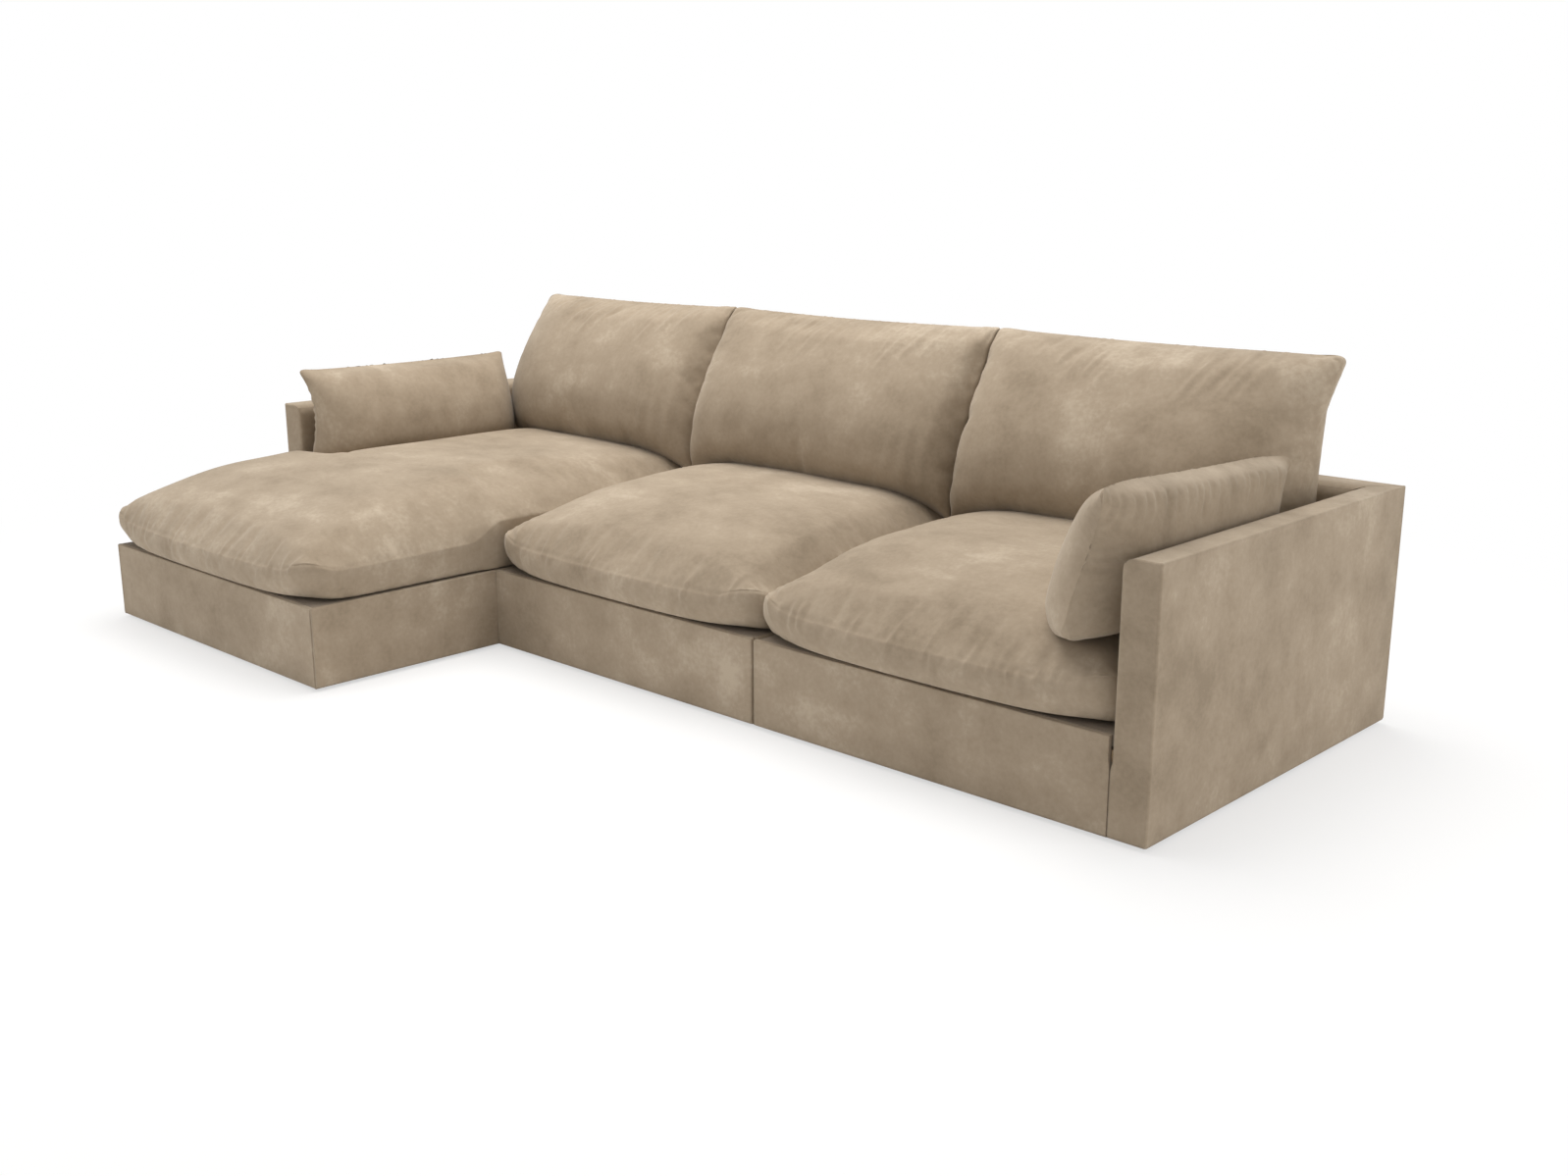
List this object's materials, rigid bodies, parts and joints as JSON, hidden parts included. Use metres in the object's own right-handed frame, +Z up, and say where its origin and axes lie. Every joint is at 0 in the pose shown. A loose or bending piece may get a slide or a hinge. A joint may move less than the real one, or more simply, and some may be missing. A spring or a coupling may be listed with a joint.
{
  "type": "sectional sofa with chaise",
  "caption": "Low sectional sofa in upholstered modules: a chaise with an arm, an armless seat and an end seat with an arm, with loose seat, back and arm cushions.",
  "frame": {"origin": "on the floor, under the middle of the outline box", "axes": "+X along the sofa towards the end seat's arm, -Y towards the front and the chaise's foot, +Z up"},
  "size_m": [3.155, 1.6642, 0.8759],
  "materials": {
    "velvet": "brushed velvet with a mottled nap",
    "deck_cloth": "plain cotton over felt",
    "timber": "planed softwood",
    "webbing": "woven elastic belt",
    "dust_cloth": "non-woven cloth",
    "glides": "moulded plastic",
    "steel": "zinc-plated steel",
    "foam": "open-cell foam",
    "fibre": "fibre in cotton ticking"
  },
  "bodies": {
    "frame": {"chaise_arm_cover": "velvet", "chaise_arm_frame": "timber", "chaise_back_cover": "velvet", "chaise_back_frame": "timber", "chaise_base_rails": "timber", "chaise_corner_blocks": "timber", "chaise_deck_pad": "deck_cloth", "chaise_dust_cover": "dust_cloth", "chaise_frame_bolts": "steel", "chaise_front_panel": "velvet", "chaise_glides": "glides", "chaise_hook_plates": "steel", "chaise_left_panel": "velvet", "chaise_right_panel": "velvet", "chaise_webbing": "webbing", "end_arm_cover": "velvet", "end_arm_frame": "timber", "end_back_cover": "velvet", "end_back_frame": "timber", "end_base_rails": "timber", "end_corner_blocks": "timber", "end_deck_pad": "deck_cloth", "end_dust_cover": "dust_cloth", "end_frame_bolts": "steel", "end_front_panel": "velvet", "end_glides": "glides", "end_left_panel": "velvet", "end_socket_plates": "steel", "end_webbing": "webbing", "middle_back_cover": "velvet", "middle_back_frame": "timber", "middle_base_rails": "timber", "middle_corner_blocks": "timber", "middle_deck_pad": "deck_cloth", "middle_dust_cover": "dust_cloth", "middle_frame_bolts": "steel", "middle_front_panel": "velvet", "middle_glides": "glides", "middle_hook_plates": "steel", "middle_left_panel": "velvet", "middle_right_panel": "velvet", "middle_socket_plates": "steel", "middle_webbing": "webbing"},
    "chaise_seat": {"chaise_seat_cushion": "velvet", "chaise_seat_core": "foam"},
    "chaise_back_pillow": {"chaise_back_cushion": "velvet", "chaise_back_cushion_insert": "fibre"},
    "middle_seat": {"middle_seat_cushion": "velvet", "middle_seat_core": "foam"},
    "middle_back_pillow": {"middle_back_cushion": "velvet", "middle_back_cushion_insert": "fibre"},
    "end_seat": {"end_seat_cushion": "velvet", "end_seat_core": "foam"},
    "end_back_pillow": {"end_back_cushion": "velvet", "end_back_cushion_insert": "fibre"},
    "left_arm_pillow": {"left_arm_cushion": "velvet", "left_arm_cushion_insert": "fibre"},
    "right_arm_pillow": {"right_arm_cushion": "velvet", "right_arm_cushion_insert": "fibre"}
  },
  "joints": [
    {"name": "chaise_seat_lift", "type": "slide", "parent": "frame", "child": "chaise_seat", "axis": [0, 0, 1], "range_m": [0, 0.35]},
    {"name": "middle_seat_lift", "type": "slide", "parent": "frame", "child": "middle_seat", "axis": [0, 0, 1], "range_m": [0, 0.35]},
    {"name": "end_seat_lift", "type": "slide", "parent": "frame", "child": "end_seat", "axis": [0, 0, 1], "range_m": [0, 0.35]},
    {"name": "chaise_back_lift", "type": "slide", "parent": "chaise_seat", "child": "chaise_back_pillow", "axis": [0, 0, 1], "range_m": [0, 0.45]},
    {"name": "middle_back_lift", "type": "slide", "parent": "middle_seat", "child": "middle_back_pillow", "axis": [0, 0, 1], "range_m": [0, 0.45]},
    {"name": "end_back_lift", "type": "slide", "parent": "end_seat", "child": "end_back_pillow", "axis": [0, 0, 1], "range_m": [0, 0.45]},
    {"name": "left_arm_lift", "type": "slide", "parent": "chaise_seat", "child": "left_arm_pillow", "axis": [0, 0, 1], "range_m": [0, 0.35]},
    {"name": "right_arm_lift", "type": "slide", "parent": "end_seat", "child": "right_arm_pillow", "axis": [0, 0, 1], "range_m": [0, 0.35]}
  ]
}
